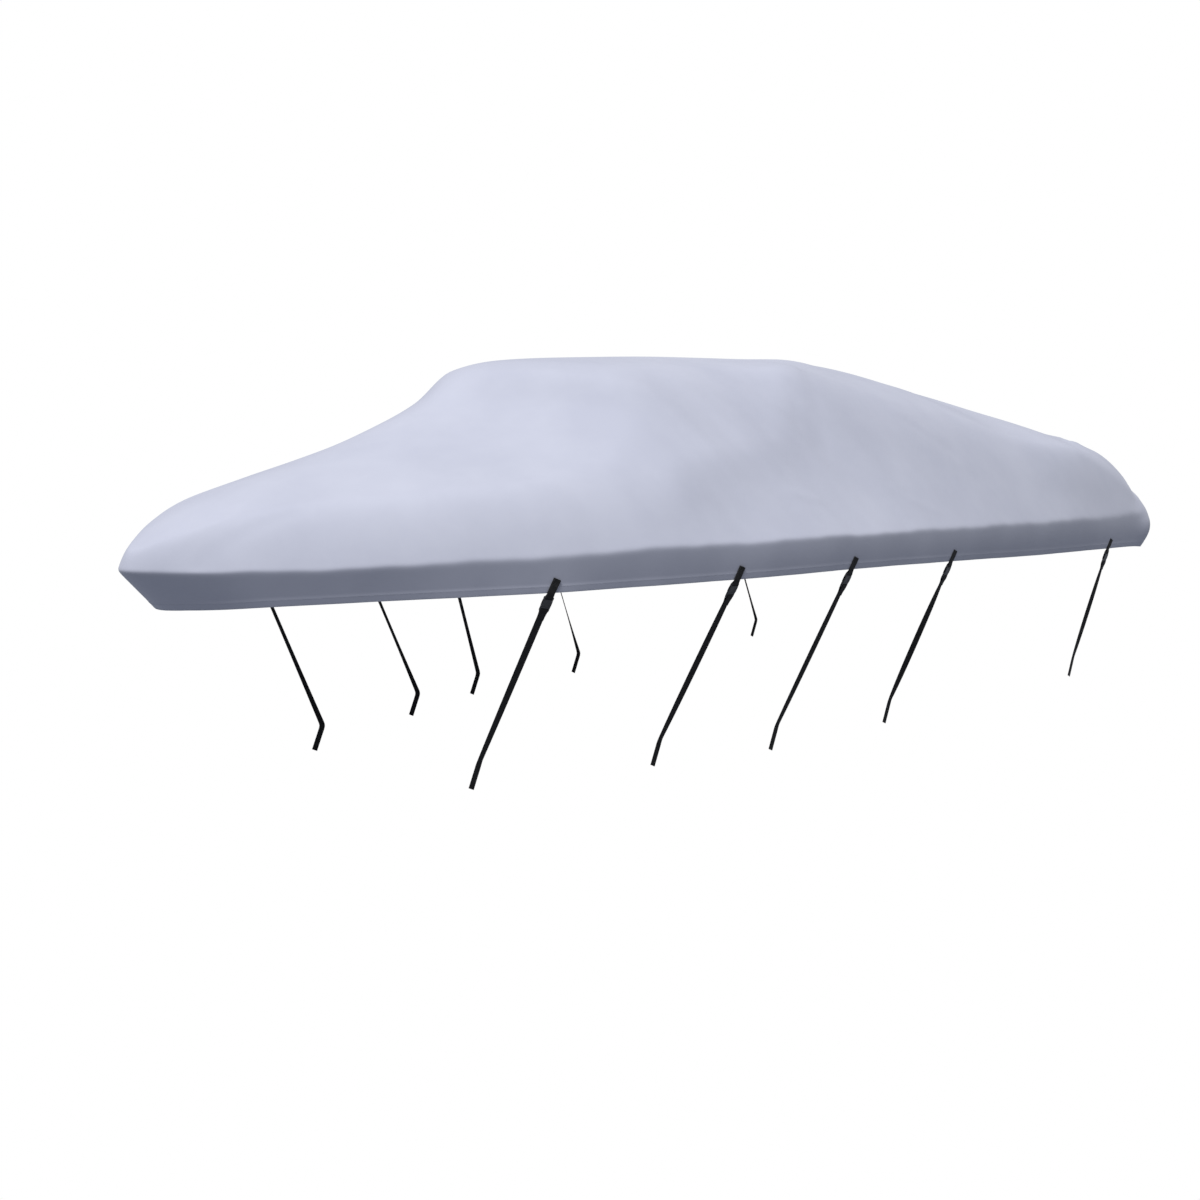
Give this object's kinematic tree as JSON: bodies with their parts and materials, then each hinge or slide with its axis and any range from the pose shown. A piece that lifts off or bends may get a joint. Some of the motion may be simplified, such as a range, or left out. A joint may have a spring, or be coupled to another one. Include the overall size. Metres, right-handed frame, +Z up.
{
  "type": "boat cover",
  "caption": "Fitted boat cover: one drawn sheet with a crowned top, blunt bow, square stern and hemmed skirt, held down by webbing straps with side-release buckles.",
  "frame": {"origin": "underside of the crown on the centreline, 2.30 m behind the bow tip, where the cover bears on what holds it up", "axes": "+X from bow to stern, +Y to starboard, +Z up"},
  "size_m": [4.9091, 2.2856, 1.4863],
  "materials": {
    "grey_polyester": "matte coated polyester canvas",
    "black_webbing": "woven polypropylene webbing",
    "black_plastic": "satin moulded acetal"
  },
  "bodies": {
    "root": {"cover_cloth": "grey_polyester", "tab_port_1": "black_webbing", "tab_port_2": "black_webbing", "tab_port_3": "black_webbing", "tab_port_4": "black_webbing", "tab_port_5": "black_webbing", "tab_starboard_1": "black_webbing", "tab_starboard_2": "black_webbing", "tab_starboard_3": "black_webbing", "tab_starboard_4": "black_webbing", "tab_starboard_5": "black_webbing", "strap_port_1": "black_webbing", "strap_port_2": "black_webbing", "strap_port_3": "black_webbing", "strap_port_4": "black_webbing", "strap_port_5": "black_webbing", "strap_starboard_1": "black_webbing", "strap_starboard_2": "black_webbing", "strap_starboard_3": "black_webbing", "strap_starboard_4": "black_webbing", "strap_starboard_5": "black_webbing", "socket_port_1": "black_plastic", "socket_port_2": "black_plastic", "socket_port_3": "black_plastic", "socket_port_4": "black_plastic", "socket_port_5": "black_plastic", "socket_starboard_1": "black_plastic", "socket_starboard_2": "black_plastic", "socket_starboard_3": "black_plastic", "socket_starboard_4": "black_plastic", "socket_starboard_5": "black_plastic", "plug_port_1": "black_plastic", "plug_port_2": "black_plastic", "plug_port_3": "black_plastic", "plug_port_4": "black_plastic", "plug_port_5": "black_plastic", "plug_starboard_1": "black_plastic", "plug_starboard_2": "black_plastic", "plug_starboard_3": "black_plastic", "plug_starboard_4": "black_plastic", "plug_starboard_5": "black_plastic"}
  },
  "joints": []
}
